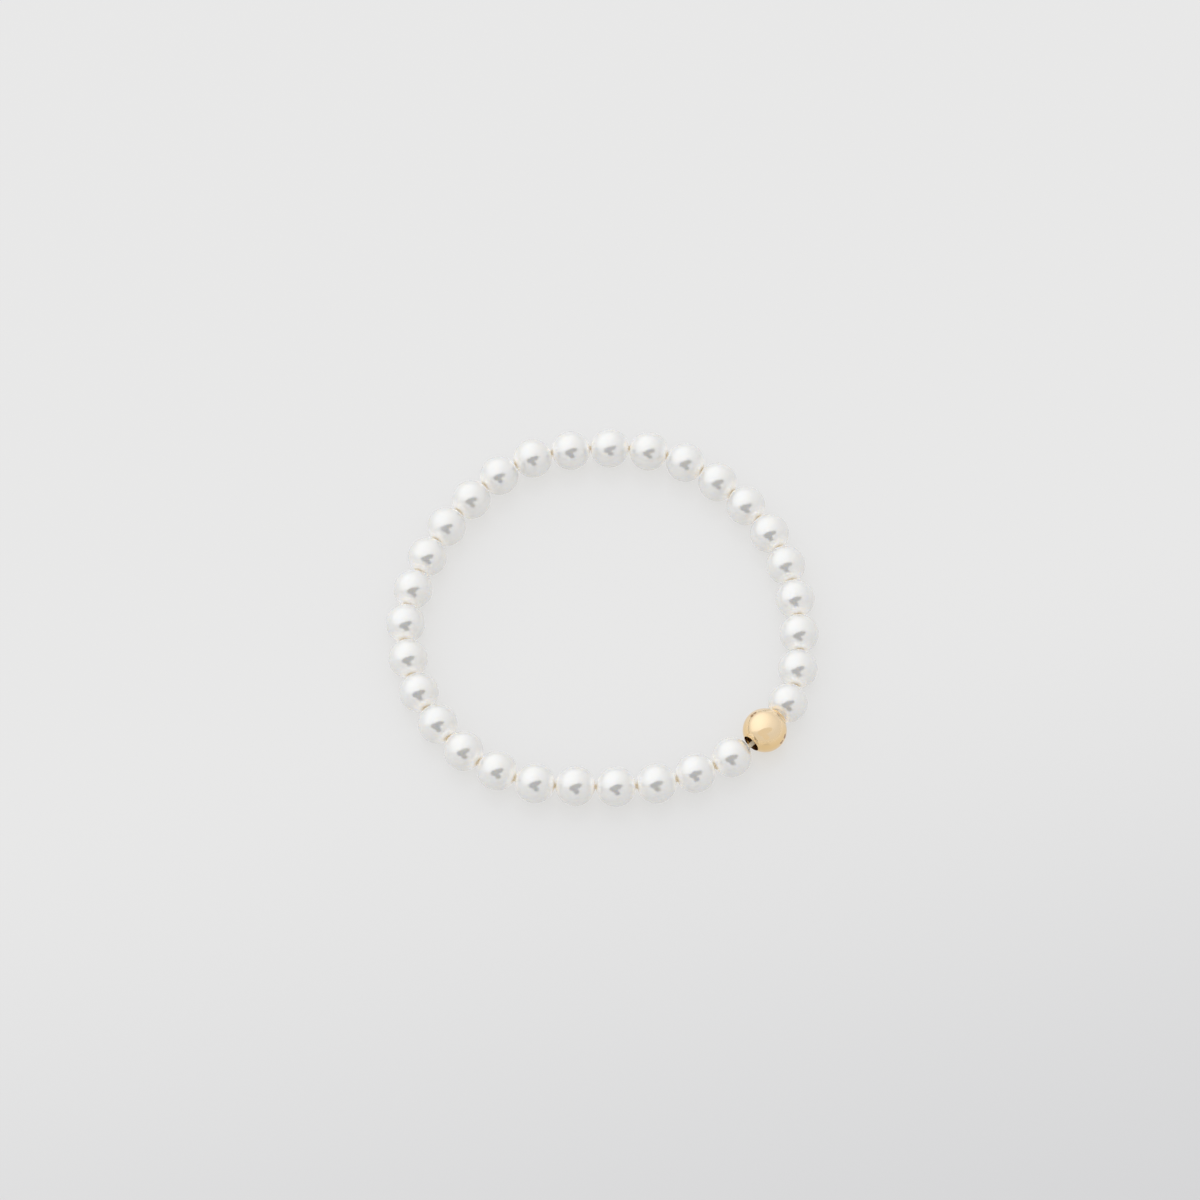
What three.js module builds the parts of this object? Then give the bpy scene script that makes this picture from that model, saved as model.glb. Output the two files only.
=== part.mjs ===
// Pearl bracelet: a closed loop of round pearls and one larger gold bead on an elastic cord.
// It lies flat, in millimetres with +Z up. The origin is on the surface under its middle.

import * as THREE from 'three';

// Pearls
const pearlCount = 30;
const pearlDiameter = 6.0;
const pearlSides = 16;
const pearlArcSteps = 10; // even, so that a row of corners lies on the widest circle
const boreBevel = 0.1; // the worn edge of each drilled hole

// Gold bead, a hollow ball
const goldDiameter = 6.7;
const goldWall = 0.4;
const goldHoleDiameter = 3.0;
const goldRimRound = 0.12; // radius of the rounded edge of its two holes
const goldSides = 16;
const goldArcSteps = 12; // even, as on the pearls
const goldRimSteps = 2;

// Elastic cord
const cordDiameter = 0.7;
const cordSides = 8;

// Clearances
const pearlGap = 0.1; // between neighbouring pearls, along the string
const boreClearance = 0.15; // around the cord in a pearl
const firstSeatGap = 0.45; // from the first pearl to its seat in the gold bead's hole
const lastSeatGap = 1.1; // the same at the last pearl, where the slack of the string shows

// The route of the string seen from above, starting at the gold bead and going anticlockwise.
// Bearings are degrees from +X, and each reach is a share of the loop's radius.
const stringRoute = [
  { bearing: -39.8, reach: 1.05 },
  { bearing: -27, reach: 1.055 },
  { bearing: -8, reach: 1.0 },
  { bearing: 18, reach: 0.973 },
  { bearing: 40, reach: 0.97 },
  { bearing: 72, reach: 0.993 },
  { bearing: 112, reach: 0.99 },
  { bearing: 137, reach: 0.957 },
  { bearing: 160, reach: 0.963 },
  { bearing: 184, reach: 1.01 },
  { bearing: 208, reach: 1.037 },
  { bearing: 230, reach: 1.05 },
  { bearing: 250, reach: 1.022 },
  { bearing: 263, reach: 0.985 },
  { bearing: 284, reach: 0.997 },
  { bearing: 306, reach: 1.033 },
];
const routeDivisions = 1200; // fine enough to measure the route's length to a hundredth

const pearlMaterial = new THREE.MeshStandardMaterial({ color: '#efedea', roughness: 0.22, metalness: 0 });
const goldMaterial = new THREE.MeshStandardMaterial({ color: '#e6c190', roughness: 0.08, metalness: 1 });
const cordMaterial = new THREE.MeshStandardMaterial({ color: '#b9b6a2', roughness: 0.35, metalness: 0 });

// Points of a half circle in a lathe's plane, from the bottom opening to the top one.
// x is the distance from the drilled axis and y the height along it.
function ballArc(radius, openingRadius, steps) {
  const openingAngle = Math.asin(openingRadius / radius);
  const points = [];
  for (let step = 0; step <= steps; step += 1) {
    const angle = openingAngle + (Math.PI - 2 * openingAngle) * (step / steps);
    points.push(new THREE.Vector2(radius * Math.sin(angle), -radius * Math.cos(angle)));
  }
  return points;
}

// The bore is drilled to pass the cord, and its two edges are bevelled.
function makePearlGeometry() {
  const boreRadius = cordDiameter / 2 + boreClearance;
  const outside = ballArc(pearlDiameter / 2, boreRadius + boreBevel, pearlArcSteps);
  const boreHalfLength = outside[outside.length - 1].y - boreBevel;
  const profile = [
    new THREE.Vector2(boreRadius, -boreHalfLength),
    ...outside,
    new THREE.Vector2(boreRadius, boreHalfLength),
    new THREE.Vector2(boreRadius, -boreHalfLength),
  ];
  return new THREE.LatheGeometry(profile, pearlSides);
}

// A quarter round that turns the ball's outside into the wall of its hole.
function holeRim(holeRadius, topHeight) {
  const points = [];
  for (let step = 1; step <= goldRimSteps; step += 1) {
    const angle = (Math.PI / 2) * (step / goldRimSteps);
    const x = holeRadius + goldRimRound * (1 - Math.sin(angle));
    const y = topHeight - goldRimRound * (1 - Math.cos(angle));
    points.push(new THREE.Vector2(x, y));
  }
  return points;
}

function flipped(points) {
  return points.map((point) => new THREE.Vector2(point.x, -point.y)).reverse();
}

// The hollow is open through both holes.
function makeGoldGeometry() {
  const outerRadius = goldDiameter / 2;
  const holeRadius = goldHoleDiameter / 2;
  const outside = ballArc(outerRadius, holeRadius + goldRimRound, goldArcSteps);
  const inside = ballArc(outerRadius - goldWall, holeRadius, goldArcSteps).reverse();
  const topRim = holeRim(holeRadius, outside[outside.length - 1].y);
  const profile = [...flipped(topRim), ...outside, ...topRim, ...inside];
  profile.push(profile[0].clone());
  return new THREE.LatheGeometry(profile, goldSides);
}

// Every bead of the string in order, the gold bead first.
function listBeads() {
  const goldGeometry = makeGoldGeometry();
  const pearlGeometry = makePearlGeometry();
  const beads = [
    { name: 'gold_bead', diameter: goldDiameter, geometry: goldGeometry, material: goldMaterial },
  ];
  for (let number = 1; number <= pearlCount; number += 1) {
    beads.push({
      name: `pearl_${String(number).padStart(2, '0')}`,
      diameter: pearlDiameter,
      geometry: pearlGeometry,
      material: pearlMaterial,
    });
  }
  return beads;
}

function routeOfRadius(radius) {
  const points = stringRoute.map(({ bearing, reach }) => {
    const angle = THREE.MathUtils.degToRad(bearing);
    return new THREE.Vector3(Math.cos(angle), Math.sin(angle), 0).multiplyScalar(radius * reach);
  });
  const route = new THREE.CatmullRomCurve3(points, true);
  route.arcLengthDivisions = routeDivisions;
  return route;
}

// From the gold bead's middle to a pearl's, with the pearl seated on the rim of the hole.
function seatedSpacing() {
  const holeRadius = goldHoleDiameter / 2;
  const goldToRim = Math.sqrt((goldDiameter / 2) ** 2 - holeRadius ** 2);
  const rimToPearl = Math.sqrt((pearlDiameter / 2) ** 2 - holeRadius ** 2);
  return goldToRim + rimToPearl;
}

// Each bead touches the surface, with its bore level and along the route.
// The beads fill the loop, so their spacing sets its length and so its radius.
function placeBeads(beads) {
  const pearlSpacing = pearlDiameter + pearlGap;
  const firstSpacing = seatedSpacing() + firstSeatGap;
  const lastSpacing = seatedSpacing() + lastSeatGap;
  const stringLength = firstSpacing + (pearlCount - 1) * pearlSpacing + lastSpacing;
  const route = routeOfRadius(stringLength / routeOfRadius(1).getLength());
  for (const [index, bead] of beads.entries()) {
    const along = index === 0 ? 0 : firstSpacing + (index - 1) * pearlSpacing;
    bead.centre = route.getPointAt(along / stringLength).setZ(bead.diameter / 2);
    bead.axis = route.getTangentAt(along / stringLength);
  }
}

function beadMesh(bead) {
  const mesh = new THREE.Mesh(bead.geometry, bead.material);
  mesh.name = bead.name;
  mesh.position.copy(bead.centre);
  // the lathe turns about its own Y, which is laid along the string
  mesh.rotation.z = Math.atan2(bead.axis.y, bead.axis.x) - Math.PI / 2;
  return mesh;
}

// A closed line of straight stretches with an equal share of the parameter each.
class StraightStretches extends THREE.Curve {
  constructor(corners) {
    super();
    this.corners = corners;
  }

  getPoint(t, target = new THREE.Vector3()) {
    const count = this.corners.length;
    const place = t * count;
    const index = Math.floor(place);
    const from = this.corners[index % count];
    const to = this.corners[(index + 1) % count];
    return target.lerpVectors(from, to, place - index);
  }

  getUtoTmapping(u) {
    return u;
  }
}

// The cord is straight inside each pearl, bends between them, and crosses the gold bead's
// hollow in one stretch from the last pearl to the first.
function makeCordMesh(pearls) {
  const corners = [];
  for (const pearl of pearls) {
    const halfStretch = pearl.axis.clone().multiplyScalar(pearlDiameter / 2);
    corners.push(pearl.centre.clone().sub(halfStretch), pearl.centre.clone().add(halfStretch));
  }
  const line = new StraightStretches(corners);
  const geometry = new THREE.TubeGeometry(line, corners.length, cordDiameter / 2, cordSides, true);
  const mesh = new THREE.Mesh(geometry, cordMaterial);
  mesh.name = 'elastic_cord';
  return mesh;
}

const bracelet = new THREE.Group();
const beads = listBeads();
placeBeads(beads);
const pearls = beads.slice(1);
bracelet.add(...beads.map(beadMesh), makeCordMesh(pearls));

// The middle of its outline from above goes to the origin.
const outline = new THREE.Box3().setFromObject(bracelet, true);
const middle = outline.getCenter(new THREE.Vector3());
bracelet.position.set(-middle.x, -middle.y, 0);

export default bracelet;
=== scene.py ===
import math

import bmesh
import bpy
from mathutils import Matrix, Vector


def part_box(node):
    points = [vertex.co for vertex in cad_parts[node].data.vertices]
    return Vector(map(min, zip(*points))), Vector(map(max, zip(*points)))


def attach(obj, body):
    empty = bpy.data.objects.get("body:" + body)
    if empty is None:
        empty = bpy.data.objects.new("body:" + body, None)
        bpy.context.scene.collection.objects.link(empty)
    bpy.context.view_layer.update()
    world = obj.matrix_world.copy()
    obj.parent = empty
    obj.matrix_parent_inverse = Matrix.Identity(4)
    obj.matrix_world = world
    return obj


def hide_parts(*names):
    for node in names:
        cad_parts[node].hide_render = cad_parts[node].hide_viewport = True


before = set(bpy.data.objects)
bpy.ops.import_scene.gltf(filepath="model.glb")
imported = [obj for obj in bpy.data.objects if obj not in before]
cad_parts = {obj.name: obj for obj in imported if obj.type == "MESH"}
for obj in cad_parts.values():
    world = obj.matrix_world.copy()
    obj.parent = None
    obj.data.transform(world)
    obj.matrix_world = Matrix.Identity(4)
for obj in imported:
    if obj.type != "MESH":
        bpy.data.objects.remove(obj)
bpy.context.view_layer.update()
scene = bpy.context.scene

mm = 0.001
black = (0, 0, 0, 1)
hardEdgeAngle = 35            # degrees; faces that meet at more than this keep a hard edge
planeTolerance = 1e-7         # metres
cutTolerance = 1e-8           # metres
placeAttribute = "beadPlace"  # where a bead's points lay, in mm, before it was put in the string


# helpers for objects and meshes

def linkToScene(name, data):
    newObject = bpy.data.objects.new(name, data)
    scene.collection.objects.link(newObject)
    return newObject


def meshFromBmesh(name, bm):
    mesh = bpy.data.meshes.new(name)
    bm.to_mesh(mesh)
    bm.free()
    mesh.shade_smooth()
    mesh.set_sharp_from_angle(angle=math.radians(hardEdgeAngle))
    return mesh


def ringEdges(bm, height):
    # edges that lie in the plane z = height
    return [e for e in bm.edges if all(abs(v.co.z - height) < planeTolerance for v in e.verts)]


def rimEdges(bm, cut):
    # the two rings where a bead's hole comes out
    return ringEdges(bm, cut) + ringEdges(bm, -cut)


# helpers for shader nodes

def newMaterial(name):
    material = bpy.data.materials.new(name)
    material.use_nodes = True
    tree = material.node_tree
    return material, tree, tree.nodes["Principled BSDF"]


def feed(tree, node, inputs):
    # each input gets a plain number, colour or vector, or another node's output
    for key, value in inputs.items():
        socket = node.inputs[key]
        if isinstance(value, bpy.types.NodeSocket):
            tree.links.new(value, socket)
        else:
            socket.default_value = value


def addNode(tree, kind, spot, inputs=None, **settings):
    node = tree.nodes.new(kind)
    node.location = spot
    for key, value in settings.items():
        setattr(node, key, value)
    feed(tree, node, inputs or {})
    return node


def addObjectPlace(tree, spot):
    return addNode(tree, "ShaderNodeTexCoord", spot).outputs["Object"]


def addBeadPlace(tree, spot):
    return addNode(tree, "ShaderNodeAttribute", spot, attribute_name=placeAttribute).outputs["Vector"]


def addVectorMath(tree, spot, operation, *vectors):
    inputs = dict(enumerate(vectors))
    return addNode(tree, "ShaderNodeVectorMath", spot, inputs, operation=operation).outputs["Value"]


def addNoise(tree, spot, place, scale, detail):
    inputs = {"Vector": place, "Scale": scale, "Detail": detail}
    return addNode(tree, "ShaderNodeTexNoise", spot, inputs).outputs["Fac"]


def addFade(tree, spot, value, reach, shape="SMOOTHSTEP"):
    # 0 where value is the first number of reach, 1 where it is the second
    inputs = {"Value": value, "From Min": reach[0], "From Max": reach[1]}
    return addNode(tree, "ShaderNodeMapRange", spot, inputs, interpolation_type=shape).outputs["Result"]


def addMix(tree, spot, factor, start, end, kind="RGBA", blend="MIX"):
    # from start to end as factor goes from 0 to 1
    inputs = {"Factor": factor, "A": start, "B": end}
    return addNode(tree, "ShaderNodeMix", spot, inputs, data_type=kind, blend_type=blend).outputs["Result"]


def addScaled(tree, spot, base, mask, amount):
    # base + mask * amount
    inputs = {0: mask, 1: amount, 2: base}
    return addNode(tree, "ShaderNodeMath", spot, inputs, operation="MULTIPLY_ADD").outputs["Value"]


def addBump(tree, spot, height, depth, onto=None):
    # depth in mm; onto is the normal that an earlier bump has tilted
    inputs = {"Strength": 1.0, "Distance": depth * mm, "Height": height}
    if onto is not None:
        inputs["Normal"] = onto
    return addNode(tree, "ShaderNodeBump", spot, inputs).outputs["Normal"]


def inMetres(reach):
    return [distance * mm for distance in reach]


def outFrom(radius, reach):
    return [radius + distance for distance in reach]


# camera, at the angle from which the string was photographed

cameraSetup = {
    "lookAt": Vector((-0.315, 2.445, 3.0)) * mm,
    "elevation": 61.08,   # degrees above the table
    "distance": 0.70,     # metres
    "lens": 137.0,
    "sensorWidth": 36,
    "clipStart": 0.01,
}


def makeCamera(setup):
    data = bpy.data.cameras.new("camera")
    data.lens = setup["lens"]
    data.sensor_width = setup["sensorWidth"]
    data.clip_start = setup["clipStart"]
    camera = linkToScene("camera", data)
    tilt = math.radians(setup["elevation"])
    towardsCamera = Vector((0, -math.cos(tilt), math.sin(tilt)))
    camera.location = setup["lookAt"] + towardsCamera * setup["distance"]
    camera.rotation_euler = (math.pi / 2 - tilt, 0, 0)
    scene.camera = camera
    print("camera placed")
    return camera


# where the beads lie, read from the frame

def nodeCentre(name):
    low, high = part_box(name)
    return (low + high) / 2


beadNames = ["gold_bead"] + sorted(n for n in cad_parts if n.startswith("pearl_"))
beadCentres = {name: nodeCentre(name) for name in beadNames}


def beadRadius(name):
    low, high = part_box(name)
    return (high.z - low.z) / 2


def levelStep(fromName, toName):
    step = beadCentres[toName] - beadCentres[fromName]
    step.z = 0
    return step.normalized()


def beadAxis(name):
    # the drilled axis points from the bead before to the bead after
    place = beadNames.index(name)
    before = beadNames[place - 1]
    after = beadNames[(place + 1) % len(beadNames)]
    return (levelStep(before, name) + levelStep(name, after)).normalized()


def axisTurn(axis):
    return axis.to_track_quat("Z", "X").to_matrix()


# what all beads share

def drilledBall(radius, holeRadius, look):
    # a ball round the origin, cut off at both ends of its z axis where the hole comes out
    bm = bmesh.new()
    bmesh.ops.create_uvsphere(bm, u_segments=look["sides"], v_segments=look["rings"], radius=radius)
    cut = math.sqrt(radius ** 2 - holeRadius ** 2)
    for side in (1, -1):
        whole = bm.verts[:] + bm.edges[:] + bm.faces[:]
        bmesh.ops.bisect_plane(bm, geom=whole, dist=cutTolerance, plane_co=(0, 0, side * cut),
                               plane_no=(0, 0, side), clear_outer=True)
    return bm, cut


def bevelRims(bm, cut, look):
    bmesh.ops.bevel(bm, geom=rimEdges(bm, cut), offset=look["rimBevel"] * mm, affect="EDGES",
                    segments=look["bevelSegments"], profile=0.5, material=-1)


def layBead(bm, name):
    # keeps the points' own places for the patterns, then puts the bead in the string
    bmesh.ops.recalc_face_normals(bm, faces=bm.faces[:])
    ownPlace = bm.verts.layers.float_vector.new(placeAttribute)
    for v in bm.verts:
        v[ownPlace] = v.co / mm
    turn = axisTurn(beadAxis(name)).to_4x4()
    bmesh.ops.transform(bm, matrix=Matrix.Translation(beadCentres[name]) @ turn, verts=bm.verts)
    return meshFromBmesh("mesh_" + name, bm)


# shared shader group

wearDefaults = {"Smudge Scale": 300.0, "Grain Scale": 2500.0, "Least Roughness": 0.1, "Most Roughness": 0.2}
smudgeReach = {"From Min": 0.35, "From Max": 0.75}  # noise values with the least and the most roughness


def makeWearGroup():
    # fine handling marks: a slow smudge for the roughness and a fine grain for the bump
    group = bpy.data.node_groups.new("handlingMarks", "ShaderNodeTree")
    sockets = group.interface
    sockets.new_socket("Vector", in_out="INPUT", socket_type="NodeSocketVector")
    for name, value in wearDefaults.items():
        socket = sockets.new_socket(name, in_out="INPUT", socket_type="NodeSocketFloat")
        socket.default_value = value
    for name in ("Roughness", "Height"):
        sockets.new_socket(name, in_out="OUTPUT", socket_type="NodeSocketFloat")
    start = addNode(group, "NodeGroupInput", (-700, 0)).outputs
    smudge = addNoise(group, (-400, 160), start["Vector"], start["Smudge Scale"], detail=3.0)
    grain = addNoise(group, (-400, -160), start["Vector"], start["Grain Scale"], detail=2.0)
    roughness = {"To Min": start["Least Roughness"], "To Max": start["Most Roughness"]}
    spread = addNode(group, "ShaderNodeMapRange", (-100, 160), {"Value": smudge, **smudgeReach, **roughness},
                     interpolation_type="SMOOTHSTEP")
    addNode(group, "NodeGroupOutput", (200, 0), {"Roughness": spread.outputs["Result"], "Height": grain})
    return group


wearGroup = makeWearGroup()


def addWear(tree, spot, place, values):
    return addNode(tree, "ShaderNodeGroup", spot, {"Vector": place, **values}, node_tree=wearGroup).outputs


# pearls

pearlLook = {
    "nacre": (0.83, 0.83, 0.825, 1),
    "nacreWarm": (0.83, 0.82, 0.80, 1),
    "cloudScale": 260.0,                  # slow clouds of the two, per metre
    "borePaintedLight": (0.90, 0.885, 0.86, 1),   # painted light: the skin round the drilled hole is painted lighter, against the shade where the beads touch
    "borePaintedGlow": (0.09, 0.089, 0.085, 1),  # painted glow there, that lightens the shade where the beads touch
    "boreReach": (1.9, 0.5),              # mm out from the hole's edge, where both start and are full
    "rimPaintedShade": (0.79, 0.745, 0.665, 1),   # painted warm shade at the hole's very edge, where the beads touch
    # painted glow at the hole's very edge
    "rimPaintedGlow": (0.11, 0.096, 0.074, 1),
    "rimReach": (0.5, 0.15),
    "goldBounce": (0.18, 0.13, 0.07, 1),  # painted glow for the light that the gold bead throws on the pearls beside it
    "bounceReach": (4.5, 3.5),            # mm from the gold bead's middle, where it ends and is full
    "lustre": 0.43,                       # share of light that the nacre mirrors
    "lustreAtBore": 0.15,
    "ior": 1.4,
    "coat": 0.1,
    "coatRoughness": 0.05,
    "coatIor": 1.55,
    "glowDepth": 3.0,                     # mm that light travels inside the nacre
    "glowSpread": (1.0, 0.9, 0.75),       # the share of it that red, green and blue travel
    "waveScale": 420.0,                   # growth waves, per metre
    "waveDepth": 0.012,                   # mm
    "grainDepth": 0.014,                  # mm
    "wear": {"Smudge Scale": 350.0, "Grain Scale": 1700.0, "Least Roughness": 0.14, "Most Roughness": 0.21},
    "boreRadius": 0.5,                    # mm
    "rimBevel": 0.06,                     # mm
    "bevelSegments": 3,
    "sides": 64,
    "rings": 48,
}


def makePearlMaterial(look):
    material, tree, skin = newMaterial("pearlNacre")
    place = addObjectPlace(tree, (-1500, 200))
    ownPlace = addBeadPlace(tree, (-1500, -500))
    clouds = addNoise(tree, (-1200, 300), place, look["cloudScale"], detail=3.0)
    nacre = addMix(tree, (-700, 300), clouds, look["nacre"], look["nacreWarm"])

    # round each drilled hole the skin is duller, painted lighter and given a painted glow, against the shade
    # where the beads touch; at the hole's very edge it gets painted warm shade
    split = addNode(tree, "ShaderNodeSeparateXYZ", (-1350, -500), {"Vector": ownPlace})
    sideways = {"X": split.outputs["X"], "Y": split.outputs["Y"]}
    across = addNode(tree, "ShaderNodeCombineXYZ", (-1200, -500), sideways)
    fromAxis = addVectorMath(tree, (-1050, -500), "LENGTH", across.outputs["Vector"])
    nearBore = addFade(tree, (-850, -400), fromAxis, outFrom(look["boreRadius"], look["boreReach"]))
    atRim = addFade(tree, (-850, -700), fromAxis, outFrom(look["boreRadius"], look["rimReach"]))
    borePaintedLight = addMix(tree, (-500, 300), nearBore, nacre, look["borePaintedLight"])
    tintWithPaintedLight = addMix(tree, (-300, 300), atRim, borePaintedLight, look["rimPaintedShade"])
    lustre = addMix(tree, (-300, 50), nearBore, look["lustre"], look["lustreAtBore"], kind="FLOAT")
    borePaintedGlow = addMix(tree, (-700, 550), nearBore, black, look["borePaintedGlow"])
    rimPaintedGlow = addMix(tree, (-500, 550), atRim, borePaintedGlow, look["rimPaintedGlow"])

    # painted glow for the warm light that the gold bead throws on the pearls beside it
    fromGold = addVectorMath(tree, (-1050, 800), "DISTANCE", place, beadCentres["gold_bead"])
    besideGold = addFade(tree, (-850, 800), fromGold, inMetres(look["bounceReach"]))
    glow = addMix(tree, (-300, 550), besideGold, rimPaintedGlow, look["goldBounce"], blend="ADD")

    # growth waves and grain
    waves = addNoise(tree, (-1200, 0), place, look["waveScale"], detail=2.0)
    wear = addWear(tree, (-850, -100), place, look["wear"])
    waveNormal = addBump(tree, (-500, -200), waves, look["waveDepth"])
    feed(tree, skin, {
        "Base Color": tintWithPaintedLight,
        "Metallic": lustre,
        "Roughness": wear["Roughness"],
        "IOR": look["ior"],
        "Normal": addBump(tree, (-300, -200), wear["Height"], look["grainDepth"], onto=waveNormal),
        "Coat Weight": look["coat"],
        "Coat Roughness": look["coatRoughness"],
        "Coat IOR": look["coatIor"],
        "Subsurface Weight": 1.0,
        "Subsurface Scale": look["glowDepth"] * mm,
        "Subsurface Radius": look["glowSpread"],
        "Emission Color": glow,
        "Emission Strength": 1.0,
    })
    material.cycles.emission_sampling = "NONE"
    return material


def makePearlMesh(name, look):
    bm, cut = drilledBall(beadRadius(name), look["boreRadius"] * mm, look)
    bmesh.ops.bridge_loops(bm, edges=rimEdges(bm, cut))
    bevelRims(bm, cut, look)
    return layBead(bm, name)


def makePearls(look):
    nacre = makePearlMaterial(look)
    for name in beadNames[1:]:
        pearl = linkToScene("polished_" + name, makePearlMesh(name, look))
        pearl.data.materials.append(nacre)
        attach(pearl, "root")
        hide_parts(name)
    print("pearls made:", len(beadNames) - 1)


# gold bead

goldLook = {
    "gold": (0.92, 0.74, 0.51, 1),
    "goldShadedDeep": (0.93, 0.65, 0.30, 1),  # painted shade towards the underside; the slow clouds also reach it
    "paintedShadeHeight": (6.2, 4.0),           # mm above the table, where it starts and is full
    "paintedShadeShare": 0.7,                   # how much of the deep tint follows the height
    "cloudShare": 0.3,                  # and how much of it slow clouds
    "cloudScale": 220.0,                # per metre
    # painted reflections of dark things beside the bead, as brown marks near its edge
    "reflectionMarkColour": (0.36, 0.17, 0.05, 1),
    "reflectionMarkSpots": [                   # direction from the bead's middle, size in mm
        (Vector((-0.60, 0.38, 0.70)), 0.72),
        (Vector((-0.43, 0.50, 0.75)), 0.50),
        (Vector((0.90, -0.40, 0.17)), 0.90),
        (Vector((0.74, -0.66, 0.10)), 0.66),
    ],
    "reflectionMarkStart": (0.2, 0.4),         # strengths at which a mark starts to show and is full
    "raggedScale": 3.2,                 # breaks up the marks' edges, per mm
    "inside": (0.20, 0.09, 0.02, 1),    # painted shade: the wall inside is dark brown for the shade in the hollow
    "insideReach": (0.10, 0.02),        # mm out from the inner wall, where it starts and is full
    "insideRoughness": 0.5,
    "coat": 0.5,
    "coatRoughness": 0.03,
    "grainDepth": 0.0008,               # mm
    "wear": {"Smudge Scale": 500.0, "Grain Scale": 4000.0, "Least Roughness": 0.045, "Most Roughness": 0.085},
    "radius": 3.35,                     # mm
    "holeRadius": 1.5,                  # mm
    "innerRadius": 2.95,                # mm
    "rimBevel": 0.12,                   # mm
    "bevelSegments": 4,
    "sides": 96,
    "rings": 64,
}


def makeGoldMaterial(look):
    material, tree, skin = newMaterial("polishedGold")
    place = addObjectPlace(tree, (-1300, 0))
    ownPlace = addBeadPlace(tree, (-1300, 700))

    # painted light and shade: the tint is paler high up and deepens towards the underside; slow clouds vary
    # it at random
    clouds = addNoise(tree, (-1100, 250), place, look["cloudScale"], detail=3.0)
    split = addNode(tree, "ShaderNodeSeparateXYZ", (-1100, 450), {"Vector": place})
    paintedShadeLow = addFade(tree, (-900, 450), split.outputs["Z"], inMetres(look["paintedShadeHeight"]))
    cloudy = addScaled(tree, (-900, 150), 0.0, clouds, look["cloudShare"])
    deep = addScaled(tree, (-700, 300), cloudy, paintedShadeLow, look["paintedShadeShare"])
    tintWithPaintedLight = addMix(tree, (-500, 300), deep, look["gold"], look["goldShadedDeep"])

    # painted reflections of dark things beside the bead: brown marks near its edge, with ragged edges
    ragged = addNoise(tree, (-1100, 1000), ownPlace, look["raggedScale"], detail=3.0)
    turnBack = axisTurn(beadAxis("gold_bead")).inverted()
    marks = 0.0
    for number, (direction, size) in enumerate(look["reflectionMarkSpots"]):
        level = 1000 + 300 * number
        middle = turnBack @ direction.normalized() * look["radius"]
        away = addVectorMath(tree, (-900, level), "DISTANCE", ownPlace, middle)
        near = addFade(tree, (-700, level), away, (size, 0.0))
        marks = addScaled(tree, (-500, level), marks, near, ragged)
    strength = addFade(tree, (-500, 700), marks, look["reflectionMarkStart"], shape="LINEAR")
    withReflectionMarks = addMix(tree, (-300, 500), strength, tintWithPaintedLight, look["reflectionMarkColour"])

    # the inner wall is dull, and painted dark brown as shade in the hollow
    fromMiddle = addVectorMath(tree, (-1100, 700), "LENGTH", ownPlace)
    inside = addFade(tree, (-900, 700), fromMiddle, outFrom(look["innerRadius"], look["insideReach"]))
    wear = addWear(tree, (-900, -100), place, look["wear"])
    dull = addMix(tree, (-300, 0), inside, wear["Roughness"], look["insideRoughness"], kind="FLOAT")
    feed(tree, skin, {
        "Base Color": addMix(tree, (-300, 250), inside, withReflectionMarks, look["inside"]),
        "Metallic": 1.0,
        "Roughness": dull,
        "Normal": addBump(tree, (-300, -200), wear["Height"], look["grainDepth"]),
        "Coat Weight": look["coat"],
        "Coat Roughness": look["coatRoughness"],
    })
    return material


def makeGoldBead(look):
    name = "gold_bead"
    hole = look["holeRadius"] * mm
    bm, outerCut = drilledBall(beadRadius(name), hole, look)
    inner, innerCut = drilledBall(look["innerRadius"] * mm, hole, look)
    innerMesh = bpy.data.meshes.new("inner_wall")
    inner.to_mesh(innerMesh)
    inner.free()
    bm.from_mesh(innerMesh)
    bpy.data.meshes.remove(innerMesh)
    for side in (1, -1):
        bmesh.ops.bridge_loops(bm, edges=ringEdges(bm, side * outerCut) + ringEdges(bm, side * innerCut))
    bevelRims(bm, outerCut, look)
    bead = linkToScene("hollow_gold_bead", layBead(bm, name))
    bead.data.materials.append(makeGoldMaterial(look))
    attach(bead, "root")
    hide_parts(name)
    print("gold bead made")
    return bead


# elastic cord

cordLook = {
    "colour": (0.82, 0.77, 0.66, 1),
    "dark": (0.69, 0.63, 0.51, 1),
    "fibreScale": 5200.0,             # mixes the two, per metre
    "glow": (0.10, 0.082, 0.054, 1),  # painted glow that lightens the cord in the shade between the beads
    "clearness": 0.3,
    "ior": 1.45,
    "grainDepth": 0.01,               # mm
    "wear": {"Smudge Scale": 900.0, "Grain Scale": 6000.0, "Least Roughness": 0.25, "Most Roughness": 0.4},
    "radius": 0.35,                   # mm
    "sides": 20,
}


def cordStations():
    # the cord enters and leaves each pearl on its drilled axis
    stations = []
    for name in beadNames[1:]:
        axis = beadAxis(name)
        half = beadCentres[name].z
        for side in (-1, 1):
            stations.append((beadCentres[name] + axis * side * half, axis))
    return stations


def stationMatrix(station):
    point, axis = station
    return Matrix.Translation(point) @ axisTurn(axis).to_4x4()


def makeCordMaterial(look):
    material, tree, skin = newMaterial("clearElastic")
    place = addObjectPlace(tree, (-1000, 0))
    fibres = addNoise(tree, (-700, 200), place, look["fibreScale"], detail=2.0)
    wear = addWear(tree, (-700, -100), place, look["wear"])
    feed(tree, skin, {
        "Base Color": addMix(tree, (-300, 200), fibres, look["dark"], look["colour"]),
        "Roughness": wear["Roughness"],
        "IOR": look["ior"],
        "Normal": addBump(tree, (-300, -100), wear["Height"], look["grainDepth"]),
        "Transmission Weight": look["clearness"],
        "Emission Color": look["glow"],
        "Emission Strength": 1.0,
    })
    material.cycles.emission_sampling = "NONE"
    return material


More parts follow.
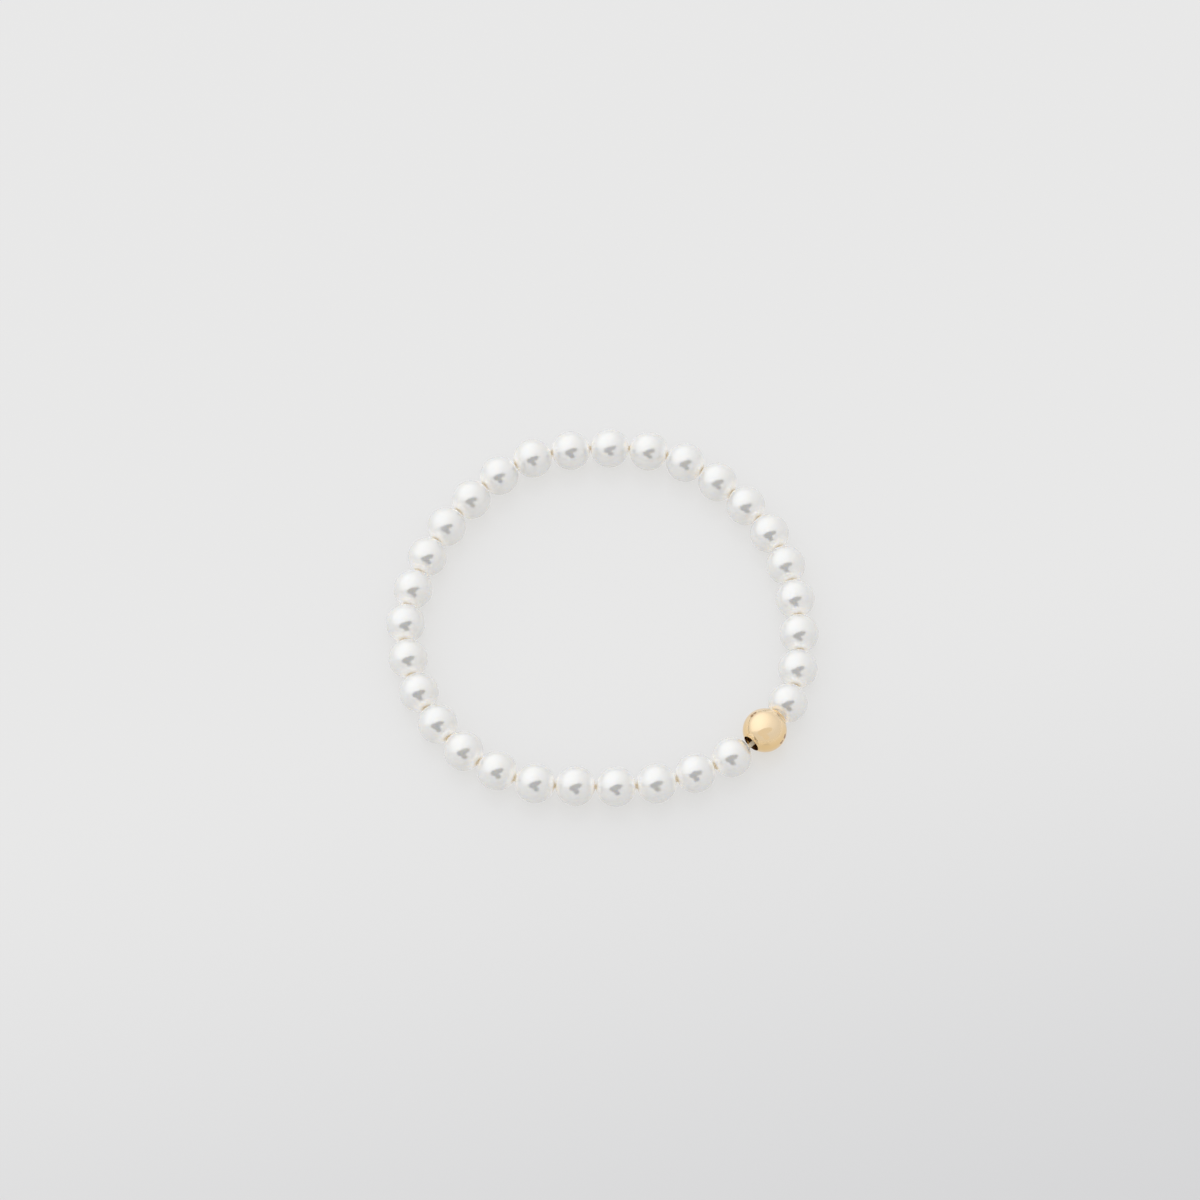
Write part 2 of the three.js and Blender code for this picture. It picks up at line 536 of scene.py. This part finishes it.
def makeCord(look):
    stations = cordStations()
    bm = bmesh.new()
    bmesh.ops.create_circle(bm, segments=look["sides"], radius=look["radius"] * mm)
    bmesh.ops.transform(bm, matrix=stationMatrix(stations[0]), verts=bm.verts)
    firstRing = bm.edges[:]
    ring = firstRing
    for before, after in zip(stations, stations[1:]):
        made = bmesh.ops.extrude_edge_only(bm, edges=ring)["geom"]
        newVerts = [g for g in made if isinstance(g, bmesh.types.BMVert)]
        fresh = set(newVerts)
        ring = [g for g in made if isinstance(g, bmesh.types.BMEdge) and set(g.verts) <= fresh]
        step = stationMatrix(after) @ stationMatrix(before).inverted()
        bmesh.ops.transform(bm, matrix=step, verts=newVerts)
    bmesh.ops.bridge_loops(bm, edges=ring + firstRing)
    bmesh.ops.recalc_face_normals(bm, faces=bm.faces[:])
    cord = linkToScene("stretch_cord", meshFromBmesh("mesh_cord", bm))
    cord.data.materials.append(makeCordMaterial(look))
    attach(cord, "root")
    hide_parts("elastic_cord")
    print("cord made")


# table, light and what the beads mirror

studio = {
    "tableSize": 6.0,                             # metres
    "table": (0.20, 0.206, 0.228, 1),
    "tableIor": 1.3,
    "tableWear": {"Smudge Scale": 8.0, "Grain Scale": 400.0, "Least Roughness": 0.14, "Most Roughness": 0.2},
    "tableGlow": (0.599, 0.590, 0.565, 1),        # light that comes up through the pale sheet
    "tableGlowFront": (0.425, 0.419, 0.406, 1),   # nearer the front edge
    "tableGlowGrazing": (0.20, 0.198, 0.191, 1),  # what is left of it at the lowest angles
    "frontDirection": Vector((0.25, -0.97, 0)),
    "frontReach": (0.0, 0.16),                    # metres along it, where the front's glow starts and is full
    "skyColour": (1.0, 1.0, 1.0, 1),
    "skyBase": 0.80,
    "backLight": 0.15,
    "backFrom": Vector((-0.10, 0.35, 0.93)),
    "backReach": (0.15, 0.95),                    # cosines where the light starts and is full
    "softboxLight": 0.32,
    "softboxColour": (0.968, 0.984, 1.0, 1),
    "softboxSides": [                             # inward side of each edge, its start and full cosines
        (Vector((-0.31, 0.79, 0.51)), (0.08, 0.32)),
        (Vector((-0.76, 0.38, 0.54)), (0.0, 1.0)),
        (Vector((0, 0, 1)), (-0.07, 0.38)),
    ],
    "cardDistance": 0.8,                          # metres
    "cardSides": 48,
    "cardGlowOnGold": 0.81,
    "cardColour": (1.0, 0.95, 0.86, 1),
    "cards": [                                    # middle, half sizes and turn, per metre of distance
        (Vector((0.01, -0.095)), (0.84, 0.27), 19),
        (Vector((-0.35, -0.315)), (0.41, 0.29), 0),
        (Vector((0.09, -0.65)), (0.42, 0.30), -50),
        (Vector((0.22, -0.875)), (0.32, 0.29), 0),
    ],
}


def addRamp(tree, level, vector, towards, reach):
    # 0 to 1 along one direction
    along = addVectorMath(tree, (-700, level), "DOT_PRODUCT", vector, towards.normalized())
    return addFade(tree, (-500, level), along, reach)


def makeTable(setup):
    bm = bmesh.new()
    bmesh.ops.create_grid(bm, x_segments=1, y_segments=1, size=setup["tableSize"] / 2)
    table = linkToScene("table_top", meshFromBmesh("mesh_table", bm))
    material, tree, skin = newMaterial("paleTable")
    place = addObjectPlace(tree, (-1000, 0))
    wear = addWear(tree, (-500, 0), place, setup["tableWear"])
    front = addRamp(tree, -400, place, setup["frontDirection"], setup["frontReach"])
    glow = addMix(tree, (-300, -300), front, setup["tableGlow"], setup["tableGlowFront"])

    # less light leaves the sheet at a grazing angle
    grazing = addNode(tree, "ShaderNodeFresnel", (-300, -550), {"IOR": setup["tableIor"]}).outputs["Fac"]
    feed(tree, skin, {
        "Base Color": setup["table"],
        "Roughness": wear["Roughness"],
        "IOR": setup["tableIor"],
        "Emission Color": addMix(tree, (-120, -300), grazing, glow, setup["tableGlowGrazing"]),
        "Emission Strength": 1.0,
    })
    material.cycles.emission_sampling = "NONE"
    table.data.materials.append(material)


def makeSky(setup):
    world = bpy.data.worlds.new("sky")
    world.use_nodes = True
    tree = world.node_tree
    direction = addNode(tree, "ShaderNodeTexCoord", (-950, 0)).outputs["Generated"]
    back = addRamp(tree, 300, direction, setup["backFrom"], setup["backReach"])
    softbox = 1.0
    for number, (inward, reach) in enumerate(setup["softboxSides"]):
        level = -300 * number
        side = addRamp(tree, level, direction, inward, reach)
        softbox = addScaled(tree, (-300, level), 0.0, side, softbox)
    light = addScaled(tree, (-300, 300), setup["skyBase"], back, setup["backLight"])
    feed(tree, tree.nodes["Background"], {
        "Color": addMix(tree, (-120, -100), softbox, setup["skyColour"], setup["softboxColour"]),
        "Strength": addScaled(tree, (-120, 150), light, softbox, setup["softboxLight"]),
    })
    scene.world = world


def makeCardMaterial(setup):
    material = bpy.data.materials.new("cardGlow")
    material.use_nodes = True
    tree = material.node_tree
    tree.nodes.clear()
    lit = {"Color": setup["cardColour"], "Strength": setup["cardGlowOnGold"]}
    glow = addNode(tree, "ShaderNodeEmission", (0, 0), lit)
    addNode(tree, "ShaderNodeOutputMaterial", (200, 0), {"Surface": glow.outputs["Emission"]})
    return material


def makeCards(setup, camera, goldBead):
    # the dark shape that the pearls mirror; only the gold bead sees it lit
    receivers = bpy.data.collections.new("gold_only")
    receivers.objects.link(goldBead)
    material = makeCardMaterial(setup)
    away = setup["cardDistance"]
    facing = camera.rotation_euler.to_matrix().to_4x4()
    middle = cameraSetup["lookAt"] + facing.to_3x3() @ Vector((0, 0, away))
    for number, (spot, half, turn) in enumerate(setup["cards"], 1):
        bm = bmesh.new()
        bmesh.ops.create_circle(bm, cap_ends=True, segments=setup["cardSides"], radius=away)
        shape = Matrix.Rotation(math.radians(turn), 4, "Z") @ Matrix.Diagonal((*half, 1, 1))
        bmesh.ops.transform(bm, matrix=shape, verts=bm.verts)
        card = linkToScene(f"card_{number}", meshFromBmesh(f"mesh_card_{number}", bm))
        offset = facing @ (spot.to_3d() * away)
        card.matrix_world = Matrix.Translation(middle + offset) @ facing
        card.data.materials.append(material)
        card.visible_camera = False
        card.visible_diffuse = False
        card.visible_transmission = False
        card.visible_shadow = False
        card.light_linking.receiver_collection = receivers


camera = makeCamera(cameraSetup)
makePearls(pearlLook)
goldBead = makeGoldBead(goldLook)
makeCord(cordLook)
makeTable(studio)
makeSky(studio)
makeCards(studio, camera, goldBead)
scene.view_settings.view_transform = "Standard"
print("studio made")
